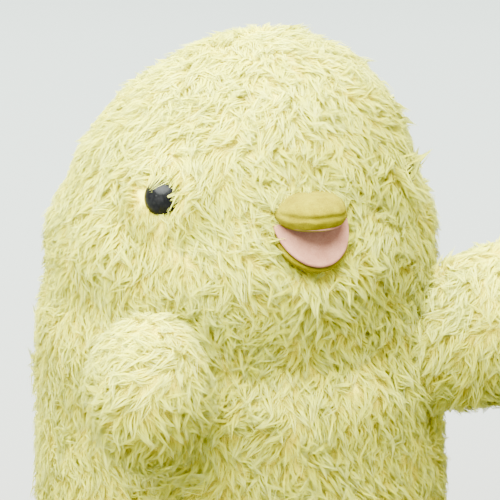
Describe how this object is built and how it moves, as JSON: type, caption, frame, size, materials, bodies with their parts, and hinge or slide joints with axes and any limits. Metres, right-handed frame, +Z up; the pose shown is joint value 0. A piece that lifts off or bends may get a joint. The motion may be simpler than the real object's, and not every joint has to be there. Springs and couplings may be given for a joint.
{
  "type": "moving mouth hand puppet",
  "caption": "Plush chick hand puppet: domed furry head and body in one, bead eyes, small felt beak that opens on a hidden hinge, two stubby wings, hand opening below.",
  "frame": {"origin": "centre of the hand opening, in the plane the puppet rests on", "axes": "+Z up along the body, the chick faces -Y, its left wing is on +X"},
  "size_m": [0.1712, 0.1609, 0.2233],
  "materials": {
    "plush": "matte",
    "wadding": "matte",
    "lining": "matte",
    "label": "satin",
    "eye": "gloss",
    "washer": "satin",
    "yellow_felt": "matte",
    "pink_felt": "matte",
    "board": "matte"
  },
  "bodies": {
    "torso": {"belly_panel": "plush", "back_panel_left": "plush", "back_panel_right": "plush", "torso_wadding": "wadding", "torso_lining": "lining", "hem_band": "lining", "care_label": "label"},
    "neck": {"neck_lining": "lining"},
    "head": {"head_gusset": "plush", "head_side_left": "plush", "head_side_right": "plush", "head_wadding": "wadding", "head_lining": "lining", "eye_left": "eye", "eye_right": "eye", "eye_washer_left": "washer", "eye_washer_right": "washer"},
    "upper_beak": {"upper_beak_felt": "yellow_felt", "upper_mouth_board": "board", "upper_mouth_felt": "pink_felt", "upper_finger_pocket": "lining"},
    "lower_beak": {"lower_beak_felt": "yellow_felt", "lower_mouth_board": "board", "lower_mouth_felt": "pink_felt", "lower_finger_pocket": "lining"},
    "left_shoulder": {"wing_left_root": "plush"},
    "left_wing": {"wing_left_top": "plush", "wing_left_under": "plush", "wing_left_wadding": "wadding"},
    "right_shoulder": {"wing_right_root": "plush"},
    "right_wing": {"wing_right_top": "plush", "wing_right_under": "plush", "wing_right_wadding": "wadding"}
  },
  "joints": [
    {"name": "head_turn", "type": "hinge", "parent": "torso", "child": "neck", "pos_m": [0, 0, 0.13], "axis": [0, 0, 1], "range_deg": [-25, 25]},
    {"name": "head_nod", "type": "hinge", "parent": "neck", "child": "head", "pos_m": [0, 0, 0.13], "axis": [1, 0, 0], "range_deg": [-18, 10]},
    {"name": "beak_lift", "type": "hinge", "parent": "head", "child": "upper_beak", "pos_m": [0, -0.05489, 0.177], "axis": [-1, 0, 0], "range_deg": [-4, 18]},
    {"name": "jaw_drop", "type": "hinge", "parent": "head", "child": "lower_beak", "pos_m": [0, -0.05489, 0.177], "axis": [1, 0, 0], "range_deg": [-46, 12]},
    {"name": "left_wing_swing", "type": "hinge", "parent": "torso", "child": "left_shoulder", "pos_m": [0.04334, -0.03386, 0.124], "axis": [0, 0, 1], "range_deg": [-54, 3]},
    {"name": "left_wing_raise", "type": "hinge", "parent": "left_shoulder", "child": "left_wing", "pos_m": [0.04334, -0.03386, 0.124], "axis": [-0.1908, -0.9816, 0], "range_deg": [-24, 24]},
    {"name": "right_wing_swing", "type": "hinge", "parent": "torso", "child": "right_shoulder", "pos_m": [-0.04334, -0.03386, 0.124], "axis": [0, 0, -1], "range_deg": [-3, 54]},
    {"name": "right_wing_raise", "type": "hinge", "parent": "right_shoulder", "child": "right_wing", "pos_m": [-0.04334, -0.03386, 0.124], "axis": [-0.9063, 0.4226, 0], "range_deg": [-24, 24]}
  ]
}
